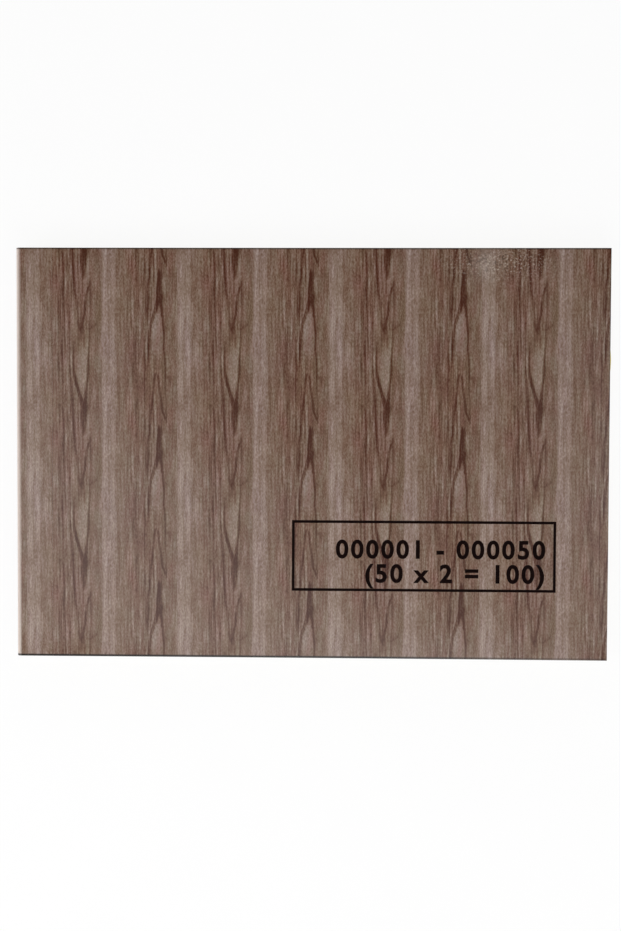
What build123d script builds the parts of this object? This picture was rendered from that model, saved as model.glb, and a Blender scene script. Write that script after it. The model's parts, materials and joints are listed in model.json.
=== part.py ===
"""Duplicate receipt book: two-part carbonless sets, wire-stitched at the side and bound in a wrap-round cover.

The cover is one sheet of laminated card. It is glued round the stitched margin and scored along a crease,
and the front panel and the leaves fold back about that crease. Each set is a white original over a yellow
copy. The original tears off at its perforation and the copy stays in the book. A loose writing shield is
kept inside the back cover, to be slipped under the set that is being written.

Frame: +X from the spine to the fore-edge, +Y from the tail to the head, +Z up out of the front cover.
The origin is under the middle of the back cover, on the surface that the book lies on.
"""

import os

from build123d import *

# Book, in millimetres
book_length = 195.0  # spine to fore-edge, over the cover
book_height = 135.0  # tail to head
binding_width = 12.0  # spine to the crease that the cover and the leaves turn on

# Cover card and the glue that holds it
card_thickness = 0.35
fold_radius = 1.6  # outside, where the card turns from the front to the spine and on to the back
score_chamfer = 0.12  # bevel that the scoring rule leaves along the crease
spine_glue_thickness = 0.5  # between the sheets' edges and the spine panel
side_glue_setback = 0.8  # dry strip between the side glue and the crease

# Paper sets, numbered from the front
set_count = 50
pack_size = 10  # the sets below the first two are kept in packs of this many
copy_thickness = 0.075
original_thickness = 0.075

# Perforation between an original and its stub
slot_length = 2.0
slot_width = 0.4
tie_length = 1.0

# Wire stitches through the binding margin
wire_diameter = 0.5
wire_sides = 8  # flats round the wire, which is round
wire_clearance = 0.05
stitch_length = 13.0
stitch_spacing = 70.0
stitch_inset = 6.0  # spine to the line of the stitches
clinch_length = 5.0

# Loose writing shield
shield_thickness = 0.45
shield_setback = 1.5  # behind the crease and behind the fore-edge
shield_corner_radius = 4.0

# Room for what moves
crease_gap = 0.06  # across the crease, between a stub and what turns
sheet_clearance = 0.01  # between a loose sheet and the one below it

# Positions across the book
spine_x = -book_length / 2
fore_x = book_length / 2
crease_x = spine_x + binding_width
stub_end_x = crease_x - crease_gap / 2
leaf_start_x = crease_x + crease_gap / 2
sheet_spine_x = spine_x + card_thickness + spine_glue_thickness
glue_end_x = crease_x - side_glue_setback
stitch_x = spine_x + stitch_inset

# Heights through the book. The wire's crown and clinch and the shield share a room above and below the sheets.
set_thickness = copy_thickness + original_thickness
stitch_room = max(wire_diameter, shield_thickness) + 2 * wire_clearance
sheets_bottom = card_thickness + stitch_room
sheets_top = sheets_bottom + set_count * set_thickness
front_card_bottom = sheets_top + stitch_room
book_thickness = front_card_bottom + card_thickness

# The wire bends within its room, and each leg has a hole with a little play
wire_bend_radius = stitch_room / 2
wire_hole = wire_diameter + 2 * wire_clearance

slot_pitch = slot_length + tie_length
slot_count = int((book_height - tie_length) / slot_pitch)

# The loose set's original tears off and its copy turns. The next set then lies open, on the stacked ones.
loose_set, next_set, *stacked_sets = range(1, set_count + 1)

stitch_centres = {"stitch_head": stitch_spacing / 2, "stitch_tail": -stitch_spacing / 2}
leg_places = [
    (stitch_x, centre + end * stitch_length / 2)
    for centre in stitch_centres.values()
    for end in (-1, 1)
]

os.makedirs("parts", exist_ok=True)


def write(part, name):
    """Labels a finished piece and writes it as its own STEP file."""
    part.label = name
    export_step(part, f"parts/{name}.step")


def copy_plane(number):
    """The plane that the copy of a set lies on, counted down from the front."""
    return Plane.XY.offset(sheets_top - number * set_thickness)


def original_plane(number):
    """The plane that the original of a set lies on: the top of its copy."""
    return copy_plane(number).offset(copy_thickness)


def sheet_between(start_x, end_x):
    """In a sketch: a sheet between two distances across the book, over its full height."""
    with Locations(((start_x + end_x) / 2, 0)):
        Rectangle(end_x - start_x, book_height)


def cut_wire_holes():
    """In a sketch: the holes that the stitches' legs pass through."""
    with Locations(*leg_places):
        Rectangle(wire_hole, wire_hole, mode=Mode.SUBTRACT)


def cut_perforation():
    """In a sketch: the row of slots along the crease, with a paper tie between each two."""
    with Locations((crease_x, 0)):
        with GridLocations(slot_width, slot_pitch, 1, slot_count):
            Rectangle(slot_width, slot_length, mode=Mode.SUBTRACT)


# Front cover panel, from the score to the fore-edge
with BuildPart() as front_cover:
    with BuildSketch(Plane.XY.offset(front_card_bottom)):
        sheet_between(leaf_start_x, fore_x)
    extrude(amount=card_thickness)
    score_edge = front_cover.faces().sort_by(Axis.Z)[-1].edges().sort_by(Axis.X)[0]
    chamfer(score_edge, length=score_chamfer)
write(front_cover.part, "front_cover")


# Cover wrap: the hinge strip over the stitches, the spine and the back panel, folded from one card
with BuildPart() as cover_wrap:
    with BuildSketch(Plane.XZ):
        with BuildLine():
            FilletPolyline(
                (stub_end_x, book_thickness),
                (spine_x, book_thickness),
                (spine_x, 0),
                (fore_x, 0),
                radius=fold_radius,
            )
            offset(amount=card_thickness, side=Side.LEFT)
        make_face()
    extrude(amount=book_height / 2, both=True)
    strip_top = cover_wrap.faces().filter_by(Axis.Z).sort_by(Axis.Z)[-1]
    chamfer(strip_top.edges().sort_by(Axis.X)[-1], length=score_chamfer)
write(cover_wrap.part, "cover_wrap")


# Binding glue: a U round the stitched margin, with a pocket for each stitch's crown and clinch
with BuildPart() as binding_glue:
    with BuildSketch(Plane.XZ):
        glue_start_x = spine_x + card_thickness
        with Locations(((glue_start_x + glue_end_x) / 2, book_thickness / 2)):
            margin = Rectangle(glue_end_x - glue_start_x, book_thickness - 2 * card_thickness)
        fillet(margin.vertices().group_by(Axis.X)[0], radius=fold_radius - card_thickness)
        with Locations(((sheet_spine_x + glue_end_x) / 2, (sheets_bottom + sheets_top) / 2)):
            Rectangle(glue_end_x - sheet_spine_x, sheets_top - sheets_bottom, mode=Mode.SUBTRACT)
    extrude(amount=book_height / 2, both=True)
    with BuildSketch(Plane.XY):
        with Locations(*[(stitch_x, centre) for centre in stitch_centres.values()]):
            Rectangle(wire_hole, stitch_length + wire_hole)
    extrude(amount=book_thickness, mode=Mode.SUBTRACT)
write(binding_glue.part, "binding_glue")


# Wire stitches: a crown over the first stub, legs through every sheet, and ends clinched under the last
for stitch_name, stitch_centre in stitch_centres.items():
    half = stitch_length / 2
    crown_z = sheets_top + stitch_room / 2
    clinch_z = sheets_bottom - stitch_room / 2
    with BuildPart() as stitch:
        with BuildLine(Plane((stitch_x, stitch_centre, 0), x_dir=(0, 1, 0), z_dir=(1, 0, 0))) as wire_line:
            FilletPolyline(
                (clinch_length - half, clinch_z),
                (-half, clinch_z),
                (-half, crown_z),
                (half, crown_z),
                (half, clinch_z),
                (half - clinch_length, clinch_z),
                radius=wire_bend_radius,
            )
        with BuildSketch(wire_line.line ^ 0):
            RegularPolygon(wire_diameter / 2, wire_sides)
        sweep()
    write(stitch.part, stitch_name)


# Loose set: the stubs that stay in the binding, the copy that turns and the original that tears off
with BuildPart() as copy_stub:
    with BuildSketch(copy_plane(loose_set)):
        sheet_between(sheet_spine_x, stub_end_x)
        cut_wire_holes()
    extrude(amount=copy_thickness)
write(copy_stub.part, f"copy_stub_{loose_set:02d}")

with BuildPart() as original_stub:
    with BuildSketch(original_plane(loose_set)):
        sheet_between(sheet_spine_x, stub_end_x)
        cut_wire_holes()
        cut_perforation()
    extrude(amount=original_thickness)
write(original_stub.part, f"original_stub_{loose_set:02d}")

with BuildPart() as copy_leaf:
    with BuildSketch(copy_plane(loose_set).offset(sheet_clearance)):
        sheet_between(leaf_start_x, fore_x)
    extrude(amount=copy_thickness)
write(copy_leaf.part, f"copy_leaf_{loose_set:02d}")

with BuildPart() as original_slip:
    with BuildSketch(original_plane(loose_set).offset(2 * sheet_clearance)):
        sheet_between(leaf_start_x, fore_x)
        cut_perforation()
    extrude(amount=original_thickness)
write(original_slip.part, f"original_slip_{loose_set:02d}")


# Next set: whole sheets, the original with its perforation unbroken
with BuildPart() as next_copy:
    with BuildSketch(copy_plane(next_set)):
        sheet_between(sheet_spine_x, fore_x)
        cut_wire_holes()
    extrude(amount=copy_thickness)
write(next_copy.part, f"copy_{next_set:02d}")

with BuildPart() as next_original:
    with BuildSketch(original_plane(next_set)):
        sheet_between(sheet_spine_x, fore_x)
        cut_wire_holes()
        cut_perforation()
    extrude(amount=original_thickness)
write(next_original.part, f"original_{next_set:02d}")


# The stacked sets, in packs: every sheet is a solid of its own, white and yellow by turns through the block
for pack_start in range(0, len(stacked_sets), pack_size):
    pack = stacked_sets[pack_start:pack_start + pack_size]
    pack_name = f"{pack[0]:02d}_to_{pack[-1]:02d}"
    with BuildPart() as copies:
        for number in pack:
            with BuildSketch(copy_plane(number)):
                sheet_between(sheet_spine_x, fore_x)
                cut_wire_holes()
        extrude(amount=copy_thickness)
    write(copies.part, f"copies_{pack_name}")

    with BuildPart() as originals:
        for number in pack:
            with BuildSketch(original_plane(number)):
                sheet_between(sheet_spine_x, fore_x)
                cut_wire_holes()
        extrude(amount=original_thickness)
    write(originals.part, f"originals_{pack_name}")


# Writing shield: a loose card with rounded corners, inside the back cover
with BuildPart() as writing_shield:
    with BuildSketch(Plane.XY.offset(card_thickness + sheet_clearance)):
        sheet_between(crease_x + shield_setback, fore_x - shield_setback)
    extrude(amount=shield_thickness)
    fillet(writing_shield.edges().filter_by(Axis.Z), radius=shield_corner_radius)
write(writing_shield.part, "writing_shield")
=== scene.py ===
import json

import bmesh
import bpy
import numpy as np
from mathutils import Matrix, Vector


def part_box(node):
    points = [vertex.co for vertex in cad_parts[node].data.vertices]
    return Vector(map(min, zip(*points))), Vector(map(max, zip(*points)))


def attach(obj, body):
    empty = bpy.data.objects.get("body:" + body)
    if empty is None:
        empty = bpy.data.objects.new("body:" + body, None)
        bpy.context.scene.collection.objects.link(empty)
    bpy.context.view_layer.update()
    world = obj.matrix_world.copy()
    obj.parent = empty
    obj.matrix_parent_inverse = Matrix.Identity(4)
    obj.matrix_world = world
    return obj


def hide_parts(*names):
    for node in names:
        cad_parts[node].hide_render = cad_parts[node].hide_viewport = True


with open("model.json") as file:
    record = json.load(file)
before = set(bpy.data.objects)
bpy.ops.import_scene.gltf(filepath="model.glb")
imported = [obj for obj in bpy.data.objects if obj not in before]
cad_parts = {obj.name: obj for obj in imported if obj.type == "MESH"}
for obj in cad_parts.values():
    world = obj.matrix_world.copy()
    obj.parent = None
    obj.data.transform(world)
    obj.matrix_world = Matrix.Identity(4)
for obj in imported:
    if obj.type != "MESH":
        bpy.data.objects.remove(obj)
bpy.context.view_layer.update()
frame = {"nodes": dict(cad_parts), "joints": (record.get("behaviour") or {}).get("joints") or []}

# Stacked sets: white originals, each over the yellow copy that takes its writing. They are carbonless paper,
# stitched through the binding margin and trimmed as one block, so their edges are nearly flush. Beyond the
# crease the leaves lie loose and fan up a little towards the fore-edge.
mm = 0.001
draw = np.random.default_rng(seed=50)

crease_x = next(joint["pos_m"][0] for joint in frame["joints"] if joint["name"] == "leaf_turn")
fore_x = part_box("front_cover")[1].x
head_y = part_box("front_cover")[1].y
stack_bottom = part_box("copies_43_to_50")[0].z
stack_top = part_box("original_slip_01")[1].z
sheet_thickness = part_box("copy_02")[1].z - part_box("copy_02")[0].z

leaf_fan = 0.35 * mm  # rise of the top leaf at the fore-edge
trim_play = 0.05 * mm  # how far a sheet's edges stand in or out of the trimmed block
leg_play = 0.05 * mm  # round a stitch's leg in its hole
sheet_step = 14 * mm  # between the lines of a sheet's grid

bulge_y = 31 * mm  # where one copy's fore-edge has slipped out
bulge_length = 5.5 * mm
bulge_depth = 0.6 * mm
bulged_node = "copies_03_to_12"


def grid_lines(start, end, step, *stops):
    """Ascending grid lines from start to end, evenly spaced by about a step, with one more at each stop.
    Lines that agree to eight decimals are one."""
    lines = np.concatenate([np.linspace(start, end, max(round((end - start) / step), 1) + 1), *stops])
    return np.unique(np.round(lines[(lines >= start) & (lines <= end)], decimals=8))


def points_of(x, y, z):
    """Grid points from their x, y and z, each an array that spreads over the whole grid."""
    return np.stack(np.broadcast_arrays(x, y, z), axis=-1)


def kept_cells(x_lines, y_lines, holes):
    """Which cells of a grid are left when holes are cut: those whose middle lies in none of the rectangles
    (x from, x to, y from, y to)."""
    x = (x_lines[1:] + x_lines[:-1])[:, None, None] / 2
    y = (y_lines[1:] + y_lines[:-1])[None, :, None] / 2
    x_from, x_to, y_from, y_to = np.reshape(holes, (-1, 4)).T
    return ~((x > x_from) & (x < x_to) & (y > y_from) & (y < y_to)).any(axis=2)


def plate_mesh(name, lower, upper, kept):
    """Closed plates between two grids of points, (plates, u, v, 3). Each kept cell has a face above and one
    below, and a wall stands wherever a kept cell borders on none. The attribute print_side is 1 on the upper
    points and 0 on the lower ones."""
    count = lower[..., 0].size
    low = np.arange(count).reshape(lower.shape[:3])
    high = low + count

    def quads(cells, *corners):
        return np.stack([corner[:, cells] for corner in corners], axis=-1).reshape(-1, 4)

    def corners(grid):
        return grid[:, :-1, :-1], grid[:, 1:, :-1], grid[:, 1:, 1:], grid[:, :-1, 1:]

    edged = np.pad(kept, 1)
    u_before, u_after = edged[:-1, 1:-1], edged[1:, 1:-1]
    v_before, v_after = edged[1:-1, :-1], edged[1:-1, 1:]
    u_wall = low[:, :, :-1], high[:, :, :-1], high[:, :, 1:], low[:, :, 1:]
    v_wall = low[:, :-1], low[:, 1:], high[:, 1:], high[:, :-1]
    faces = np.concatenate([
        quads(kept, *corners(high)),
        quads(kept, *corners(low)[::-1]),
        quads(u_after & ~u_before, *u_wall),
        quads(u_before & ~u_after, *u_wall[::-1]),
        quads(v_after & ~v_before, *v_wall),
        quads(v_before & ~v_after, *v_wall[::-1]),
    ])
    used, faces = np.unique(faces, return_inverse=True)
    points = np.concatenate([lower.reshape(-1, 3), upper.reshape(-1, 3)])[used]
    mesh = bpy.data.meshes.new(name)
    mesh.from_pydata(points.tolist(), [], faces.reshape(-1, 4).tolist())
    side = mesh.attributes.new("print_side", "FLOAT", "POINT")
    side.data.foreach_set("value", (used >= count).astype(np.float32))
    return mesh


def add_piece(mesh, material, body, slot, *nodes):
    """Puts a mesh into the scene as a piece with one material, carried by a body in place of CAD nodes."""
    mesh.materials.append(material)
    piece = bpy.data.objects.new(mesh.name, mesh)
    bpy.context.scene.collection.objects.link(piece)
    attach(piece, body)
    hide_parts(*nodes)


def share_out(x):
    """The share of the way from the crease to the fore-edge, and nothing before the crease."""
    return np.clip((x - crease_x) / (fore_x - crease_x), 0, 1)


def leaf_rise(x, level):
    """How far a leaf lies above its pressed place: the square of its share of the way from the crease to the
    fore-edge, times its share of the stack's height."""
    height = (level - stack_bottom) / (stack_top - stack_bottom)
    return leaf_fan * height * share_out(x) ** 2


def leg_holes():
    """The square holes round both legs of each stitch, as (x from, x to, y from, y to)."""
    holes = []
    for stitch in ("stitch_head", "stitch_tail"):
        low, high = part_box(stitch)
        wire = high.x - low.x
        for leg_y in (low.y, high.y - wire):
            hole = (low.x - leg_play, high.x + leg_play, leg_y - leg_play, leg_y + wire + leg_play)
            holes.append(hole)
    return np.array(holes)


def sheets_mesh(node, count, holes):
    """Sheets laid one over another in a node's box. A sheet is its outline moved up by leaf_rise, with its
    fore-edge in or out by a little that grows with the sixth power of the way from the crease, and its head
    and tail drawn out likewise. A bulge is a bell curve along the fore-edge of the top sheet."""
    bulged = node == bulged_node
    low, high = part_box(node)
    bulge_lines = np.linspace(-3, 3, 13) * bulge_length + bulge_y if bulged else []
    x = grid_lines(low.x, high.x, sheet_step, holes[:, :2].ravel())
    y = grid_lines(low.y, high.y, sheet_step, holes[:, 2:].ravel(), bulge_lines)
    levels = np.linspace(low.z, high.z - sheet_thickness, count)[:, None, None]
    out = draw.normal(0, trim_play, (count, 1, 1)) * np.ones((1, 1, y.size))
    if bulged:
        out[-1] += bulge_depth * np.exp(-(((y - bulge_y) / bulge_length) ** 2))
    stretch = 1 + draw.normal(0, trim_play / head_y, (count, 1, 1))
    sheet_x = x[None, :, None] + out * share_out(x)[None, :, None] ** 6
    lower = points_of(sheet_x, y[None, None, :] * stretch, levels + leaf_rise(sheet_x, levels))
    return plate_mesh(f"{node}_paper", lower, lower + (0, 0, sheet_thickness), kept_cells(x, y, holes))


def colour(red, green, blue):
    """A display colour from 0 to 255, as the linear values that a shader takes."""
    shown = np.array((red, green, blue)) / 255
    return (*np.where(shown <= 0.04045, shown / 12.92, ((shown + 0.055) / 1.055) ** 2.4), 1.0)


def put(tree, kind, inputs=(), **settings):
    """Adds a shader node with its settings, and gives each named or numbered input a value or a link."""
    node = tree.nodes.new(f"ShaderNode{kind}")
    for name, value in settings.items():
        setattr(node, name, value)
    for name, value in dict(inputs).items():
        value = value.socket if isinstance(value, Field) else value
        if isinstance(value, bpy.types.NodeSocket):
            tree.links.new(value, node.inputs[name])
        else:
            node.inputs[name].default_value = value
    return node


class Field:
    """A number that varies over a surface: a node's output, to which + - * / and the calls add Math nodes."""

    def __init__(self, tree, socket):
        self.tree = tree
        self.socket = socket

    def maths(self, operation, *others):
        values = dict(enumerate((self, *others)))
        return Field(self.tree, put(self.tree, "Math", values, operation=operation).outputs[0])

    def __add__(self, other):
        return self.maths("ADD", other)

    def __sub__(self, other):
        return self.maths("SUBTRACT", other)

    def __mul__(self, other):
        return self.maths("MULTIPLY", other)

    def __truediv__(self, other):
        return self.maths("DIVIDE", other)

    def __neg__(self):
        return self * -1

    def size(self):
        return self.maths("ABSOLUTE")

    def most(self, other):
        return self.maths("MAXIMUM", other)

    def least(self, other):
        return self.maths("MINIMUM", other)

    def ramp(self, start, end):
        """From 0 at start to 1 at end, smoothly, and level beyond them."""
        values = {"Value": self, "From Min": start, "From Max": end}
        ramp = put(self.tree, "MapRange", values, interpolation_type="SMOOTHSTEP")
        return Field(self.tree, ramp.outputs[0])

    def bell(self, middle, width):
        """A bell curve: 1 at the middle, and e to the minus square of the way from it, in widths."""
        offset = (self - middle) / width
        return (-(offset * offset)).maths("EXPONENT")


def mixed(tree, factor, first, second, kind="MIX"):
    """A colour between two others, or the first one blended with the second."""
    values = {0: factor, 6: first, 7: second}
    return put(tree, "Mix", values, data_type="RGBA", blend_type=kind).outputs[2]


def noise(tree, place, lumps, detail=2.0, rough=0.5):
    """Smooth noise about 0, mostly within half either way, with so many lumps to a unit of the place."""
    values = {"Vector": place, "Scale": lumps, "Detail": detail, "Roughness": rough}
    return Field(tree, put(tree, "TexNoise", values).outputs["Fac"]) - 0.5


def new_material(name):
    """A material and its parts: the node tree, its Principled shader and the surface's own coordinates."""
    material = bpy.data.materials.new(name)
    material.use_nodes = True
    tree = material.node_tree
    return material, tree, tree.nodes["Principled BSDF"], put(tree, "TexCoord").outputs["Object"]


def connect(tree, socket, value):
    """Feeds a shader's socket from a field or another node's output."""
    tree.links.new(value.socket if isinstance(value, Field) else value, socket)


def bumped(tree, height, depth):
    """A normal roughened by a height that varies by about 1, to that depth in metres."""
    return put(tree, "Bump", {"Height": height, "Distance": depth}).outputs["Normal"]


def paper(name, shade, lighter, print_over=None):
    """Uncoated paper: a cloudy formation, a fine tooth of fibres and, on the upper side, a print."""
    material, tree, shader, place = new_material(name)
    tooth_depth = 0.012 * mm
    cloud = noise(tree, place, lumps=260, detail=4, rough=0.6)
    fibre = noise(tree, place, lumps=2400, detail=3)
    tone = mixed(tree, (cloud + fibre * 0.5).ramp(-0.4, 0.4), shade, lighter)
    if print_over:
        tone = print_over(tree, place, tone)
    connect(tree, shader.inputs["Base Color"], tone)
    connect(tree, shader.inputs["Roughness"], fibre * 0.3 + 0.78)
    connect(tree, shader.inputs["Normal"], bumped(tree, fibre, tooth_depth))
    shader.inputs["Specular IOR Level"].default_value = 0.25
    return material


white = colour(228, 227, 221), colour(238, 237, 232)
yellow = colour(232, 211, 108), colour(241, 223, 128)
white_paper = paper("white_paper", *white)
yellow_paper = paper("yellow_paper", *yellow)

for first, last in ((3, 12), (13, 22), (23, 32), (33, 42), (43, 50)):
    for kind, material, slot in (
        ("copies", yellow_paper, "yellow_paper"),
        ("originals", white_paper, "white_paper"),
    ):
        node = f"{kind}_{first:02d}_to_{last:02d}"
        add_piece(sheets_mesh(node, last - first + 1, leg_holes()), material, "pad", slot, node)


# Next set and loose set: the first two originals and copies, which carry the ruled receipt form. An original
# has a row of slots along the crease to tear it off by. The loose set's sheets are already parted there from
# their stubs, which stay in the binding. The sheets that can be laid open have their number stamped in red.
slot_length = 2 * mm
slot_width = 0.4 * mm
tie_length = 1 * mm  # paper left between two slots
slot_pitch = slot_length + tie_length
slot_count = int((2 * head_y - tie_length) / slot_pitch)


def perforation():
    """The row of slots along the crease, as (x from, x to, y from, y to)."""
    middles = (np.arange(slot_count) - (slot_count - 1) / 2) * slot_pitch
    half = np.array((-0.5, 0.5))
    across = np.full((slot_count, 2), crease_x) + half * slot_width
    along = middles[:, None] + half * slot_length
    return np.hstack([across, along])


ink_spread = 0.06  # soft edge of a printed line, in millimetres


def new_group(name, **outputs):
    """A shader node group that takes a Place and has named outputs of given kinds, and that place in it."""
    group = bpy.data.node_groups.new(name, "ShaderNodeTree")
    group.interface.new_socket("Place", in_out="INPUT", socket_type="NodeSocketVector")
    for output, kind in outputs.items():
        group.interface.new_socket(output, in_out="OUTPUT", socket_type=kind)
    return group, group.nodes.new("NodeGroupInput").outputs["Place"]


def in_millimetres(tree, place):
    """The x, y and z of a place, in millimetres."""
    return [Field(tree, part) / mm for part in put(tree, "SeparateXYZ", {0: place}).outputs]


def box_distance(x, y, left, right, bottom, top):
    """How far a place is outside a rectangle, along its farther axis. Inside, it is below nothing."""
    across = (x - (left + right) / 2).size() - (right - left) / 2
    along = (y - (bottom + top) / 2).size() - (top - bottom) / 2
    return across.most(along)


def inked(distance):
    """1 where a distance is below nothing, with the soft edge of printed ink."""
    return distance.ramp(ink_spread, -ink_spread)


def box_outline(x, y, box, line):
    """The printed outline of a rectangle, its line inside it."""
    middle = box_distance(x, y, *box) + line / 2
    return inked(middle.size() - line / 2)


def receipt_form():
    """Node group of the receipt form's print, as masks of its rules and its tint. A rule is where the
    distance from a line or a box is under half its width. The sizes are in millimetres, and a box is its
    left, right, bottom and top."""
    left, right, field_right = -78.0, 91.0, 30.0
    thin, bold = 0.22, 0.45
    table_bottom, table_top, row = -40.0, 24.0, 8.0
    columns = (-66.0, 22.0, 56.0)
    field_heights = (43.0, 34.0)
    signature_starts, signature_length, signature_height = (left, -16.0), 52.0, -58.0
    table_box = (left, right, table_bottom, table_top)
    heading_box = (left, right, table_top - row, table_top)
    title_box = (left, field_right, 50.0, 60.0)
    number_box = (48.0, right, 48.0, 60.0)
    total_box = (56.0, right, -56.0, -45.0)

    group, place = new_group("receipt_form", Rules="NodeSocketFloat", Tint="NodeSocketFloat")
    x, y, _ = in_millimetres(group, place)

    def filled(*box):
        return inked(box_distance(x, y, *box))

    table = filled(*table_box)
    rows = (y - table_top).maths("WRAP", row / 2, -row / 2).size()
    rules = inked(rows - thin / 2) * table
    for column in columns:
        rules = rules.most(inked((x - column).size() - thin / 2) * table)
    for height in field_heights:
        rules = rules.most(filled(left, field_right, height, height + thin))
    for start in signature_starts:
        end = start + signature_length
        rules = rules.most(filled(start, end, signature_height, signature_height + thin))
    for box in (table_box, number_box, total_box):
        rules = rules.most(box_outline(x, y, box, bold))
    tint = filled(*heading_box).most(filled(*title_box)).most(filled(*total_box))

    out = group.nodes.new("NodeGroupOutput")
    connect(group, out.inputs["Rules"], rules)
    connect(group, out.inputs["Tint"], tint)
    return group


form_group = receipt_form()
form_ink = colour(62, 92, 110)
tint_share = 0.2


def printed_side(tree):
    """1 on the printed side of a sheet or a card, and 0 on its other side and its edges."""
    side = Field(tree, put(tree, "Attribute", attribute_name="print_side").outputs["Fac"])
    return side.ramp(0.98, 0.99)


def form_print(tree, place, tone):
    """Prints the receipt form over a paper's tone, on its upper side."""
    form = put(tree, "Group", node_tree=form_group)
    tree.links.new(place, form.inputs["Place"])
    upper = printed_side(tree)
    wear = noise(tree, place, lumps=900, detail=3) * 0.5 + 0.85
    tinted = mixed(tree, Field(tree, form.outputs["Tint"]) * upper * tint_share, tone, form_ink)
    return mixed(tree, Field(tree, form.outputs["Rules"]) * upper * wear, tinted, form_ink)


white_form = paper("white_receipt_form", *white, form_print)
yellow_form = paper("yellow_receipt_form", *yellow, form_print)
no_holes = np.empty((0, 4))

for node, body, material, slot, holes in (
    ("copy_02", "pad", yellow_form, "yellow_paper", leg_holes()),
    ("original_02", "pad", white_form, "white_paper", np.vstack([leg_holes(), perforation()])),
    ("copy_stub_01", "pad", yellow_paper, "yellow_paper", leg_holes()),
    ("original_stub_01", "pad", white_paper, "white_paper", np.vstack([leg_holes(), perforation()])),
    ("copy_leaf_01", "first_copy", yellow_form, "yellow_paper", no_holes),
    ("original_slip_01", "first_original", white_form, "white_paper", perforation()),
):
    add_piece(sheets_mesh(node, 1, holes), material, body, slot, node)

ink_film = 0.008 * mm
figure_weight = 0.03  # how far a figure's outline is drawn out, as a share of its height
figure_spacing = 1.2
weld_reach = 0.001 * mm  # points of a figure's outline nearer than this are one
stamp_height, stamp_right, stamp_baseline = 7.6 * mm, 87 * mm, 51.2 * mm


def figures_mesh(name, text, height, right, baseline, lie):
    """Bold figures as a closed film of ink, set to the left of a line. Each point is raised by lie(x), the
    height of the surface that it is printed on."""
    letters = bpy.data.curves.new(name, "FONT")
    letters.body = text
    letters.size = height
    letters.offset = figure_weight * height
    letters.space_character = figure_spacing
    letters.extrude = ink_film / 2
    letters.align_x = "RIGHT"
    setting = bpy.data.objects.new(f"{name}_setting", letters)
    bpy.context.scene.collection.objects.link(setting)
    bpy.context.view_layer.update()
    shaped = setting.evaluated_get(bpy.context.evaluated_depsgraph_get())
    mesh = bpy.data.meshes.new_from_object(shaped)
    bpy.data.objects.remove(setting)
    mesh.name = name
    welded = bmesh.new()
    welded.from_mesh(mesh)
    bmesh.ops.remove_doubles(welded, verts=welded.verts, dist=weld_reach)
    welded.to_mesh(mesh)
    welded.free()
    points = np.empty(len(mesh.vertices) * 3)
    mesh.vertices.foreach_get("co", points)
    points = points.reshape(-1, 3) + (right, baseline, ink_film / 2)
    points[:, 2] += lie(points[:, 0])
    mesh.vertices.foreach_set("co", points.ravel())
    mesh.update()
    return mesh


def ink(name, shade, lighter):
    """Printing ink, a little thin where the paper's tooth leaves it so."""
    material, tree, shader, place = new_material(name)
    patch = noise(tree, place, lumps=1500, detail=3)
    connect(tree, shader.inputs["Base Color"], mixed(tree, patch.ramp(-0.1, 0.35), shade, lighter))
    connect(tree, shader.inputs["Roughness"], patch * 0.2 + 0.5)
    shader.inputs["Specular IOR Level"].default_value = 0.02
    return material


red_ink = ink("numbering_ink", colour(158, 38, 34), colour(186, 72, 62))

for node, body, slot, number in (
    ("original_02", "pad", "white_paper", "0002"),
    ("copy_leaf_01", "first_copy", "yellow_paper", "0001"),
    ("original_slip_01", "first_original", "white_paper", "0001"),
):
    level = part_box(node)[0].z
    stamped = figures_mesh(
        f"{node}_number", number, stamp_height, stamp_right, stamp_baseline,
        lambda x: level + sheet_thickness + leaf_rise(x, level),
    )
    add_piece(stamped, red_ink, body, slot)


# Wire stitches: two staples of bright drawn steel wire. Their crowns lie over the first stub, their legs go
# through every sheet, and their ends are clinched under the last one.
def drawn_wire():
    """Bright steel wire, with the faint marks of the drawing die."""
    material, tree, shader, place = new_material("drawn_wire")
    marks = noise(tree, place, lumps=6000)
    tone = mixed(tree, marks.ramp(-0.3, 0.3), colour(176, 177, 178), colour(214, 214, 212))
    connect(tree, shader.inputs["Base Color"], tone)
    connect(tree, shader.inputs["Roughness"], marks * 0.2 + 0.3)
    shader.inputs["Metallic"].default_value = 1.0
    return material


def dress(node, material):
    """Gives a CAD node one material."""
    materials = frame["nodes"][node].data.materials
    materials.clear()
    materials.append(material)


stitch_wire = drawn_wire()
for stitch in ("stitch_head", "stitch_tail"):
    dress(stitch, stitch_wire)


# Binding glue: white glue round the stitched margin, which holds the cover wrap on. Trimming cuts it flush,
# so it shows as a thin pale line inside the card at the head and the tail.
def dried_glue():
    """White glue dried to a slightly yellow, waxy film with small bubbles."""
    material, tree, shader, place = new_material("dried_glue")
    bubble_depth = 0.03 * mm
    cloud = noise(tree, place, lumps=700, detail=3)
    bubbles = Field(tree, put(tree, "TexVoronoi", {"Vector": place, "Scale": 1400.0}).outputs["Distance"])
    tone = mixed(tree, cloud.ramp(-0.3, 0.3), colour(214, 205, 182), colour(233, 227, 210))
    connect(tree, shader.inputs["Base Color"], tone)
    connect(tree, shader.inputs["Roughness"], cloud * 0.3 + 0.45)
    connect(tree, shader.inputs["Normal"], bumped(tree, bubbles, bubble_depth))
    return material


dress("binding_glue", dried_glue())


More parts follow.
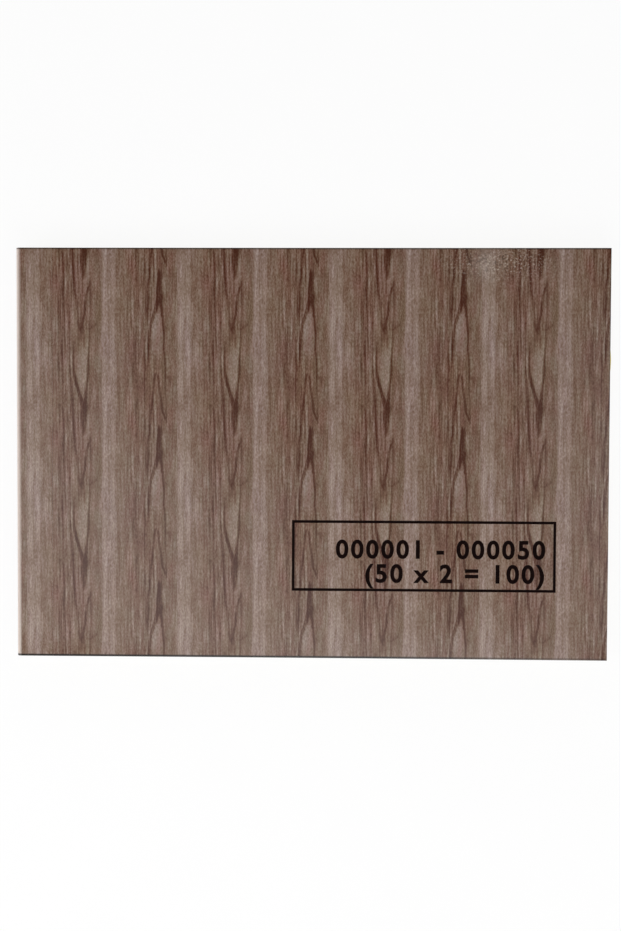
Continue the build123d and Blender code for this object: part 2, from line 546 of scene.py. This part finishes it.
# Writing shield: a loose sheet of grey board with rounded corners, kept inside the back cover. It is slipped
# under the set in use, so that the writing doesn't go through to the next.
def grey_board():
    """Pulp board pressed from waste paper: grey, with pale and dark fibres and a soft nap."""
    material, tree, shader, place = new_material("grey_board")
    nap_depth = 0.03 * mm
    cloud = noise(tree, place, lumps=180, detail=4, rough=0.65)
    fibre = noise(tree, place, lumps=1700, detail=3, rough=0.6)
    fleck = noise(tree, place, lumps=900, detail=1).ramp(0.16, 0.24)
    tone = mixed(tree, (cloud + fibre).ramp(-0.5, 0.5), colour(158, 153, 143), colour(190, 185, 175))
    connect(tree, shader.inputs["Base Color"], mixed(tree, fleck * 0.5, tone, colour(118, 112, 104)))
    connect(tree, shader.inputs["Roughness"], fibre * 0.2 + 0.86)
    connect(tree, shader.inputs["Normal"], bumped(tree, fibre, nap_depth))
    shader.inputs["Specular IOR Level"].default_value = 0.2
    return material


shield_corner = 4 * mm
corner_steps = 9  # lines over each rounded corner
shield_columns = 15
shield_low, shield_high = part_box("writing_shield")


def shield_grid():
    """The board's lower face: lines from its tail to its head, each drawn in at both ends by what the quarter
    circle of a corner takes off there."""
    corner_drops = shield_corner * (1 - np.cos(np.linspace(0, np.pi / 2, corner_steps)))
    corner_stops = shield_low.y + corner_drops, shield_high.y - corner_drops
    y = grid_lines(shield_low.y, shield_high.y, sheet_step, *corner_stops)
    into_corner = np.clip(shield_corner - (shield_high.y - np.abs(y)), 0, shield_corner)
    drawn_in = shield_corner - np.sqrt(shield_corner**2 - into_corner**2)
    across = np.linspace(0, 1, shield_columns)[:, None]
    x = (1 - across) * (shield_low.x + drawn_in) + across * (shield_high.x - drawn_in)
    return points_of(x, y[None, :], shield_low.z)[None]


def whole_plate(name, lower, upper):
    """One closed plate between two grids of points, with no cell cut out."""
    return plate_mesh(name, lower, upper, np.ones((lower.shape[1] - 1, lower.shape[2] - 1), bool))


board_bottom = shield_grid()
board_top = board_bottom + (0, 0, shield_high.z - shield_low.z)
shield = whole_plate("writing_shield_board", board_bottom, board_top)
add_piece(shield, grey_board(), "shield", "shield_card", "writing_shield")


# Cover wrap: one card with a wood-grain print under a gloss film, white inside. It is glued over the stitched
# margin, folded round the spine, where the print gives way to a pale strip, and lies under the book as its
# back panel. The print's sizes are in millimetres, and its tones in display levels of green from 0 to 255.
plank_width = 24.94
plank_start = -94.1
print_height = 51.3  # after which the print repeats
figure_middle = 18.9  # of the pointed figure, from the plank's left edge
point_aside = 0.2  # of the figure's point, from that middle
even_apex = 16.9  # height of the figure's point on the first plank and every other one after it
odd_apex = 49.6
tongue_length = 11.6  # of the dark stroke that the figure's point ends in
second_apex = 22.3  # from the figure's point to that of the smaller one inside it
stroke_blur = 0.22  # soft edge of the figure's lines
plank_bands = (  # share of the way across a plank, and how much lighter it is there
    (0.0, 6), (0.02, 18), (0.05, 26), (0.1, 15), (0.145, 21), (0.22, 2), (0.27, 3), (0.36, -2), (0.4, -5),
    (0.45, -14), (0.48, -14), (0.52, -3), (0.58, -6), (0.68, -3), (0.8, -3), (0.88, -1), (0.94, -3), (1.0, 3),
)
arm_depth, point_depth = 38, 12  # how dark the figure's arms are, and how much darker at its point
tongue_depth, tongue_streaks = 48, 60
inner_depth = 34
heart_lift, halo_lift = 17, 12
line_depth, gap_lift = 22, 9
smudge_depth, spur_depth, rust_depth = 13, 18, 7
odd_shift = 37.0  # sets the noise of the odd planks apart from that of the even ones
mean_green = 91.2
print_contrast = 1.05
wood_inks = (  # from the darkest to the lightest
    (67, 30, 14), (87, 56, 41), (108, 80, 64), (116, 91, 75),
    (136, 113, 100), (149, 128, 116), (167, 150, 138),
)


class WoodPlace:
    """A place on the wood print. It has its share of the way across its plank, whether the plank is an odd
    one, how far it is aside of the figure's middle, and its run along the plank from the figure's point and
    from the smaller figure's. The print repeats along its length, so its noise is taken round a circle of
    that circumference."""

    def __init__(self, tree, place):
        x, y, _ = in_millimetres(tree, place)
        planks = (x - plank_start) / plank_width
        plank = planks.maths("FLOOR")
        turn = y * (2 * np.pi / print_height)
        radius = print_height / (2 * np.pi)
        self.tree = tree
        self.share = planks - plank
        self.odd = plank.maths("FLOORED_MODULO", 2.0)
        self.round_x = turn.maths("COSINE") * radius
        self.round_y = turn.maths("SINE") * radius
        waver = self.grain(0.02, 0.16, 2, seed=3.0) * 0.7
        self.aside = self.share * plank_width - figure_middle + waver
        apex = self.odd * (odd_apex - even_apex) + even_apex
        from_apex = (y - apex) * (self.odd * -2 + 1)
        self.run = from_apex.maths("WRAP", print_height - tongue_length, -tongue_length)
        self.second = (self.run - second_apex).maths("FLOORED_MODULO", print_height)

    def grain(self, across, along, detail, seed=0.0):
        """Noise with so many lumps to a millimetre across the plank and along it."""
        beside = (self.share * plank_width + self.odd * odd_shift + seed) * across
        values = {0: beside, 1: self.round_x * along, 2: self.round_y * along}
        return noise(self.tree, put(self.tree, "CombineXYZ", values).outputs[0], 1.0, detail)

    def stroke(self, middle, width):
        """A line of a width along a middle, soft at its edges."""
        return (-(self.aside - middle).size() + width / 2).ramp(-stroke_blur, stroke_blur)


def decay(along, length):
    """1 at the start and before it, and dying away over a length."""
    return (along.most(0.0) / -length).maths("EXPONENT")


def plank_tone(wood):
    """How much lighter a plank is across its width, off a curve through its bands."""
    middle, span = 0.5, 100  # the curve's own height, and the levels that its range of 1 stands for
    profile = put(wood.tree, "FloatCurve", {"Value": wood.share})
    curve = profile.mapping.curves[0]
    for share, level in plank_bands[1:-1]:
        curve.points.new(share, middle + level / span)
    for end in (0, -1):
        share, level = plank_bands[end]
        curve.points[end].location = (share, middle + level / span)
    profile.mapping.update()
    return (Field(wood.tree, profile.outputs[0]) - middle) * span


def figure_sides(wood):
    """The middles of the figure's two arms: a smooth step away from its point to either side, and then slowly
    further apart."""
    beyond = wood.run.most(0.0)
    left = wood.run.ramp(-5.5, 12.5) * -3.35 + point_aside - beyond * 0.01
    right = wood.run.ramp(-6.0, 10.0) * 1.25 + point_aside + beyond * 0.012 + wood.run.ramp(12.0, 27.0) * 0.5
    return left, right


def figure_arms(wood, left, right):
    """The figure's two arms, broad at the point and thin further on, where the left one fades out."""
    left_arm = wood.stroke(left, decay(wood.run, 5.0) * 0.8 + 0.7) * wood.run.ramp(24.0, 13.0)
    right_arm = wood.stroke(right, decay(wood.run, 5.0) * 0.6 + 0.55)
    right_arm = right_arm * (wood.run.ramp(26.0, 14.0) * 0.25 + 0.75)
    return left_arm.most(right_arm) * wood.run.ramp(-4.0, -1.0)


def figure_tongue(wood):
    """The dark tongue before the point, which widens from its tip to the point."""
    width = wood.run.ramp(-tongue_length - 4.0, -1.0) * 1.9 + 0.5
    shape = (-(wood.aside - point_aside).size() + width / 2).ramp(-0.35, 0.4)
    return shape * wood.run.ramp(0.5, -1.5) * wood.run.ramp(-tongue_length, 2.0 - tongue_length)


def inner_figure(wood):
    """The smaller figure: a left arm that bends out and fades, and a straight right one that ends sooner."""
    arm_width = 0.75
    along = wood.second
    left = decay(along, 5.0) * 1.6 - 2.2 - (along - 6.0).most(0.0) * 0.055
    right = along * 0.125 - 0.5 + along.ramp(12.0, 18.0) * 0.9
    left_arm = wood.stroke(left, arm_width) * along.ramp(40.0, 28.0)
    right_arm = wood.stroke(right, arm_width) * along.ramp(18.2, 15.0)
    return left_arm.most(right_arm) * along.ramp(0.0, 2.0)


def small_marks(wood):
    """The darkness of what lies about the figure: a smudge in it, a short spur to its right, and two broken
    lines to its left with a pale one between them."""
    smudge = wood.aside.bell(-0.5, 1.2) * wood.run.bell(21.0, 2.8)
    spur = (wood.run - wood.aside * 0.63).bell(22.7, 0.7)
    spur = spur * wood.aside.ramp(1.6, 2.2) * wood.aside.ramp(5.0, 4.2)
    outer = decay(wood.run + tongue_length, 12.0) * 1.9 - 4.8
    dark_lines = wood.stroke(outer, 0.42).most(wood.stroke(outer - 1.5, 0.3) * 0.7)
    pale_line = wood.stroke(outer - 0.75, 0.35)
    broken = wood.grain(0.3, 0.25, 1, seed=53.0) * 1.5 + 0.8
    lines = (dark_lines * line_depth - pale_line * gap_lift) * broken
    return lines + smudge * smudge_depth + spur * spur_depth


def streaked(wood, heart):
    """The lightness of the lengthwise streaks, strongest beside the figure and faint in its heart, and of
    soft clouds and fine pores."""
    strength = wood.share.ramp(0.3, 0.42) * wood.share.ramp(0.9, 0.7) * 0.45 + 0.55
    streaks = wood.grain(1.6, 0.1, 1) * 114 + wood.grain(0.6, 0.07, 1, seed=11.0) * 28
    clouds = wood.grain(0.18, 0.12, 2, seed=29.0) * 34
    pores = wood.grain(3.0, 1.2, 1, seed=5.0) * 75
    return streaks * strength * (heart * -0.75 + 1) + clouds + pores


def wood_hue(wood, tongue, heart, rust):
    """What the print's red, green and blue are multiplied by. It is redder in fine patches, along a stretch
    of each plank and at the rust mark, and greyer along the plank's light edge and in the figure's heart."""
    stretch = wood.share.ramp(0.25, 0.38) * wood.share.ramp(0.95, 0.84) * wood.second.bell(15.5, 9.5)
    patches = (wood.grain(0.45, 0.1, 2, seed=41.0) * 0.22).most(-0.03)
    patches = patches * (wood.share.ramp(0.2, 0.4) * 0.75 + 0.25)
    redder = patches + stretch * (wood.odd * -0.005 + 0.021) + rust * 0.04 - 0.006
    bluer = wood.grain(0.14, 0.06, 2, seed=67.0) * 0.26 * (tongue * -1 + 1)
    greyer = wood.share.ramp(0.26, 0.12).most(heart) * 0.036 + 1.01
    values = {0: redder + 0.985, 1: -redder + 1, 2: bluer + greyer}
    return put(wood.tree, "CombineXYZ", values).outputs[0]


def wood_colour(tree, green):
    """The print's colour at a level of green, between its inks, each of which stands at its own."""
    darkest, lightest = wood_inks[0][1], wood_inks[-1][1]
    ramp = put(tree, "ValToRGB", {0: (green - darkest) / (lightest - darkest)})
    stops = ramp.color_ramp.elements
    while len(stops) < len(wood_inks):
        stops.new(0.5)
    for stop, shown in zip(stops, wood_inks):
        stop.position = (shown[1] - darkest) / (lightest - darkest)
        stop.color = colour(*shown)
    return ramp.outputs[0]


def wood_print():
    """Node group of the wood-grain print: planks side by side, each light along its left edge and streaked
    along its length, with a pointed figure that turns over from plank to plank."""
    group, place = new_group("wood_print", Colour="NodeSocketColor")
    wood = WoodPlace(group, place)
    left, right = figure_sides(wood)
    arms = figure_arms(wood, left, right) * (decay(wood.run, 4.0) * point_depth + arm_depth)
    tongue = figure_tongue(wood)
    tongue_tone = wood.grain(1.6, 0.12, 2, seed=7.0) * tongue_streaks + tongue_depth
    strokes = arms.most(tongue * tongue_tone).most(inner_figure(wood) * inner_depth)
    halo = wood.stroke(left - 0.85, 0.4) * wood.run.ramp(24.0, 13.0) * wood.run.ramp(-2.5, 3.0)
    heart = (wood.aside - left).least(right - wood.aside).ramp(0.3, 1.3)
    heart = heart * wood.run.ramp(1.0, 5.0) * wood.run.ramp(21.0, 14.0)
    rust = wood.aside.bell(-9.2, 1.8) * wood.second.bell(16.8, 2.2)

    tone = plank_tone(wood) + heart * heart_lift + halo * halo_lift
    tone = tone - strokes - small_marks(wood) - rust * rust_depth + streaked(wood, heart)
    shade = wood_colour(group, tone * print_contrast + mean_green)
    out = group.nodes.new("NodeGroupOutput")
    tinted = mixed(group, 1.0, shade, wood_hue(wood, tongue, heart, rust), "MULTIPLY")
    connect(group, out.inputs["Colour"], tinted)
    return group


wood_group = wood_print()
wrap_low, wrap_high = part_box("cover_wrap")
card_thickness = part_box("front_cover")[1].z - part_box("front_cover")[0].z
fold_radius = 1.6 * mm
edge_roll = 0.12 * mm  # the guillotine rolls the card's trimmed edges over by this much
# painted shade: the near-black tint of the rolled edges stands in for the shadow along them
edge_shadow_colour = colour(16, 11, 9)
spine_shade = colour(220, 205, 196)


def painted_edge_shade(x, y):
    """Painted shade along the card's rolled edges, standing in for the shadow that falls there: at the
    fore-edge more towards the head, at the tail more towards the spine."""
    fore = (-x + fore_x / mm).ramp(0.45, 0.1) * (y.ramp(-30.0, 60.0) * 0.6 + 0.15)
    head = (-y + head_y / mm).ramp(0.65, 0.3) * 0.7
    tail = (y + head_y / mm).ramp(0.9, 0.5) * (x.ramp(90.0, 20.0) * 0.5 + 0.45)
    return fore.most(head).most(tail)


def painted_glare(tree, place, tone):
    """A tone under film with glare painted at the head of the front: pale and dark specks and a pale haze,
    painted where the film's texture catches the light. The patch and the haze are bell curves about their
    middles, in millimetres."""
    x, y, z = in_millimetres(tree, place)
    front = z.ramp(5.0, 6.0)
    # painted highlight: the glare patch, as pale and dark specks and a pale haze over them
    patch = x.bell(61.5, 16.0) * y.bell(63.0, 5.5) * front
    haze = x.bell(56.0, 4.0) * y.bell(62.0, 5.0) * front
    speck = noise(tree, place, lumps=1600, detail=1)
    tone = mixed(tree, patch * speck.ramp(0.06, 0.22) * 0.62, tone, colour(186, 174, 162))
    tone = mixed(tree, patch * speck.ramp(-0.05, -0.18) * 0.75, tone, colour(52, 38, 30))
    return mixed(tree, haze * 0.22, tone, colour(178, 168, 158))


def laminated_card(name):
    """Wood-printed card under gloss film. The film's fine texture breaks up its shine, the print gives way to
    the pale spine over the fold with a soft fade that is partly painted highlight, the rolled edges are
    tinted with painted shade, a patch of painted glare lies at the head of the front, and the inside is white
    card."""
    material, tree, shader, place = new_material(name)
    peel_depth = 0.02 * mm
    x, y, _ = in_millimetres(tree, place)
    wood = put(tree, "Group", node_tree=wood_group)
    tree.links.new(place, wood.inputs["Place"])
    # The pale spine is its print; the soft fade into it over the fold is partly painted highlight, where the
    # fold catches the light
    spine = x.ramp(wrap_low.x / mm + 2.0, wrap_low.x / mm + 0.1)
    tone = mixed(tree, spine, wood.outputs["Colour"], spine_shade)
    # painted shade along the rolled edges
    tone = mixed(tree, painted_edge_shade(x, y), tone, edge_shadow_colour)
    # painted glare at the head of the front
    tone = painted_glare(tree, place, tone)
    fibre = noise(tree, place, lumps=1500, detail=3)
    plain = mixed(tree, fibre.ramp(-0.4, 0.4), colour(226, 224, 218), colour(240, 239, 234))
    outside = printed_side(tree)
    peel = noise(tree, place, lumps=1900)
    connect(tree, shader.inputs["Base Color"], mixed(tree, outside, plain, tone))
    connect(tree, shader.inputs["Roughness"], outside * -0.5 + 0.72 + peel * 0.1)
    connect(tree, shader.inputs["Normal"], bumped(tree, peel, peel_depth))
    return material


def edge_roll_depth(inset):
    """How far a rolled edge has dropped at a distance inside it: a quarter circle of the roll's radius."""
    short = np.clip(edge_roll - inset, 0, edge_roll)
    return edge_roll - np.sqrt(edge_roll**2 - short**2)


def sunk_edges(from_fore, from_score, y):
    """How far the card's outer face is sunk: by the rolled edges at the fore-edge, the head and the tail, and
    by the bevel along the score."""
    roll = edge_roll_depth(from_fore)[:, None] + edge_roll_depth(head_y - np.abs(y))[None, :]
    return np.minimum(roll, edge_roll) + np.clip(score_bevel - from_score, 0, score_bevel)[:, None]


def smooth(mesh, sharp_from=30):
    """Shades a mesh smoothly, with edges kept sharp where it turns by more than an angle in degrees."""
    mesh.polygons.foreach_set("use_smooth", np.ones(len(mesh.polygons), bool))
    mesh.set_sharp_from_angle(angle=np.radians(sharp_from))
    return mesh


card_step = 7 * mm  # between the lines of a panel's grid, from the spine to the fore-edge
height_step = 9 * mm  # and from the tail to the head
spine_step, strip_step = 1.5 * mm, 2 * mm
fold_steps, roll_steps = 13, 7  # lines over a fold and over a rolled edge
score_gap = 0.02 * mm  # the hair line at the crease between the strip and the panel that turns
score_bevel = 0.03 * mm  # that the scoring rule leaves on either side of it
strip_end = crease_x - score_gap / 2
fold_start = wrap_low.x + fold_radius
roll_insets = edge_roll * (1 - np.sin(np.linspace(0, np.pi / 2, roll_steps)))
quarter = np.linspace(0, np.pi / 2, fold_steps)[1:-1]
card_y = grid_lines(-head_y, head_y, height_step, head_y - roll_insets, roll_insets - head_y)

# The wrap's outline from the back panel's fore-edge round the spine to the crease, and which way it faces
back_x = grid_lines(fold_start, fore_x, card_step, fore_x - roll_insets)[::-1]
spine_z = grid_lines(fold_radius, wrap_high.z - fold_radius, spine_step)
strip_x = grid_lines(fold_start, strip_end, strip_step, [strip_end - score_bevel])
facing = np.concatenate([
    np.full(back_x.size, -np.pi / 2), -np.pi / 2 - quarter, np.full(spine_z.size, -np.pi),
    -np.pi - quarter, np.full(strip_x.size, -1.5 * np.pi),
])
outline_x = np.concatenate([
    back_x, fold_start - fold_radius * np.sin(quarter), np.full(spine_z.size, wrap_low.x),
    fold_start - fold_radius * np.cos(quarter), strip_x,
])
outline_z = np.concatenate([
    np.zeros(back_x.size), fold_radius * (1 - np.cos(quarter)), spine_z,
    wrap_high.z - fold_radius * (1 - np.sin(quarter)), np.full(strip_x.size, wrap_high.z),
])
far_off = fore_x  # stands for the distance to an edge that the other panel has
from_fore = np.where(outline_z < fold_radius, fore_x - outline_x, far_off)
from_score = np.where(outline_z > wrap_high.z - fold_radius, strip_end - outline_x, far_off)


def wrap_grid(depth):
    """The wrap's surface at a depth below its outer face: its outline, moved in against the way it faces and
    carried from the tail to the head."""
    x = outline_x[:, None] - depth * np.cos(facing)[:, None]
    z = outline_z[:, None] - depth * np.sin(facing)[:, None]
    return points_of(x, card_y[None, :], z)[None]


wrap_outer = wrap_grid(sunk_edges(from_fore, from_score, card_y))
wrap = whole_plate("cover_wrap_card", wrap_grid(card_thickness), wrap_outer)
laminated = laminated_card("laminated_card")
add_piece(smooth(wrap), laminated, "pad", "cover_card", "cover_wrap")


# Front cover: the same card, scored along the crease so that it turns there. It springs up a little towards
# the fore-edge. A ruled frame is printed on it, with the numbers of the sets and a count of the sheets.
cover_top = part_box("front_cover")[1].z
cover_spring = 1.5 * mm  # rise at the fore-edge
cover_start = crease_x + score_gap / 2
title_left, title_right = -6.2 * mm, 80.5 * mm
title_bottom, title_top = -45.2 * mm, -21.8 * mm
title_line = 0.9 * mm
title_figures, figures_right = 8.3 * mm, 77 * mm
upper_baseline, lower_baseline = -34.1 * mm, -42.1 * mm


def cover_face(x):
    """The height of the cover's outer face, which springs up by the square of the share of the way from the
    crease to the fore-edge."""
    return cover_top + cover_spring * share_out(x) ** 2


cover_x = grid_lines(cover_start, fore_x, card_step, fore_x - roll_insets, [cover_start + score_bevel])
cover_sunk = sunk_edges(fore_x - cover_x, cover_x - cover_start, card_y)
cover_z = cover_face(cover_x)[:, None]
cover_inner = points_of(cover_x[:, None], card_y[None, :], cover_z - card_thickness)[None]
cover_outer = points_of(cover_x[:, None], card_y[None, :], cover_z - cover_sunk)[None]
cover = whole_plate("front_cover_card", cover_inner, cover_outer)
add_piece(smooth(cover), laminated, "front_cover", "cover_card", "front_cover")

frame_x = grid_lines(title_left, title_right, card_step, [title_left + title_line, title_right - title_line])
frame_y = np.array([title_bottom, title_bottom + title_line, title_top - title_line, title_top])
frame_window = [frame_x[1], frame_x[-2], frame_y[1], frame_y[-2]]
frame_lower = points_of(frame_x[:, None], frame_y[None, :], cover_face(frame_x)[:, None])[None]
frame_kept = kept_cells(frame_x, frame_y, frame_window)
frame_rule = plate_mesh("title_frame_rule", frame_lower, frame_lower + (0, 0, ink_film), frame_kept)
black_ink = ink("title_ink", colour(15, 6, 5), colour(24, 12, 10))
add_piece(frame_rule, black_ink, "front_cover", "cover_card")
for line_name, text, baseline in (
    ("upper", "000001 - 000050", upper_baseline),
    ("lower", "(50 x 2 = 100)", lower_baseline),
):
    line = figures_mesh(f"title_{line_name}_line", text, title_figures, figures_right, baseline, cover_face)
    add_piece(line, black_ink, "front_cover", "cover_card")


# Studio: a pale floor that runs out to a white surround, four soft lamps about the book, two above it for the
# film's shine, and the camera over the cover.
def camera_sees(tree):
    """1 for what the camera sees straight, in a reflection or through glass."""
    path = put(tree, "LightPath").outputs
    seen = Field(tree, path["Is Camera Ray"]).most(Field(tree, path["Is Glossy Ray"]))
    return seen.most(Field(tree, path["Is Transmission Ray"]))


floor_half = 3.0
floor_drop = 0.05 * mm
shadow_share = 0.1  # how much of the lit floor, and so of the shadow, shows through its white near the book
shadow_from, shadow_to = 0.1, 0.6  # distances over which that fades out


def pale_floor():
    """A pale, faintly clouded floor that the camera sees as nearly white, and as white further off."""
    material, tree, shader, place = new_material("pale_floor")
    cloud = noise(tree, place, lumps=40, detail=3)
    tone = mixed(tree, cloud.ramp(-0.5, 0.5), colour(236, 236, 236), colour(244, 244, 244))
    connect(tree, shader.inputs["Base Color"], tone)
    shader.inputs["Roughness"].default_value = 0.9
    glow = put(tree, "Emission", {"Color": (1, 1, 1, 1), "Strength": 1.0})
    away = Field(tree, put(tree, "VectorMath", {0: place}, operation="LENGTH").outputs["Value"])
    whiteness = camera_sees(tree) * (away.ramp(shadow_from, shadow_to) * shadow_share + (1 - shadow_share))
    seen = put(tree, "MixShader", {0: whiteness, 1: shader.outputs[0], 2: glow.outputs[0]})
    tree.links.new(seen.outputs[0], tree.nodes["Material Output"].inputs["Surface"])
    return material


floor_mesh = bpy.data.meshes.new("floor")
floor_corners = np.array([(-1, -1), (1, -1), (1, 1), (-1, 1)]) * floor_half
floor_mesh.from_pydata([(x, y, -floor_drop) for x, y in floor_corners], [], [(0, 1, 2, 3)])
floor_mesh.materials.append(pale_floor())
floor = bpy.data.objects.new("floor", floor_mesh)
bpy.context.scene.collection.objects.link(floor)

world = bpy.data.worlds.new("studio")
world.use_nodes = True
sky = world.node_tree
up = Field(sky, put(sky, "SeparateXYZ", {0: put(sky, "TexCoord").outputs["Generated"]}).outputs[2])
overhead_grey = (0.12, 0.12, 0.12, 1)  # keeps the film from mirroring white
surround = mixed(sky, up.ramp(0.1, 0.8), (1, 1, 1, 1), overhead_grey)
connect(sky, sky.nodes["Background"].inputs["Color"], surround)
bpy.context.scene.world = world


def lamp(name, place, width, height, power):
    """A soft oblong lamp at a place, turned to face the middle of the book."""
    light = bpy.data.lights.new(name, "AREA")
    light.shape = "RECTANGLE"
    light.size = width
    light.size_y = height
    light.energy = power
    holder = bpy.data.objects.new(name, light)
    bpy.context.scene.collection.objects.link(holder)
    holder.location = place
    aim = Vector((0, 0, wrap_high.z)) - Vector(place)
    holder.rotation_euler = aim.to_track_quat("-Z", "Y").to_euler()


lamp("head_lamp", (0.0, 1.2, 0.4), width=0.9, height=0.7, power=2.7)
lamp("fore_lamp", (1.2, 0.0, 0.4), width=0.9, height=0.7, power=3.2)
lamp("spine_lamp", (-0.42, -0.16, 0.34), width=0.3, height=0.3, power=0.95)
lamp("tail_lamp", (0.05, -0.4, 0.43), width=0.45, height=0.3, power=1.2)
lamp("tail_sheen_lamp", (-0.14, -0.2, 0.9), width=0.75, height=0.25, power=0.95)
lamp("fore_sheen_lamp", (0.46, -0.14, 0.9), width=0.3, height=0.6, power=0.85)

camera_place = np.array((11.57, 17.51, 519.76)) * mm
camera_turn = np.radians((-2.384, 1.328, 0.214))  # a little off straight down

lens = bpy.data.cameras.new("camera")
lens.lens = 60
lens.sensor_width = 36
camera = bpy.data.objects.new("camera", lens)
bpy.context.scene.collection.objects.link(camera)
camera.location = camera_place
camera.rotation_euler = camera_turn
bpy.context.scene.camera = camera
bpy.context.scene.view_settings.view_transform = "Standard"
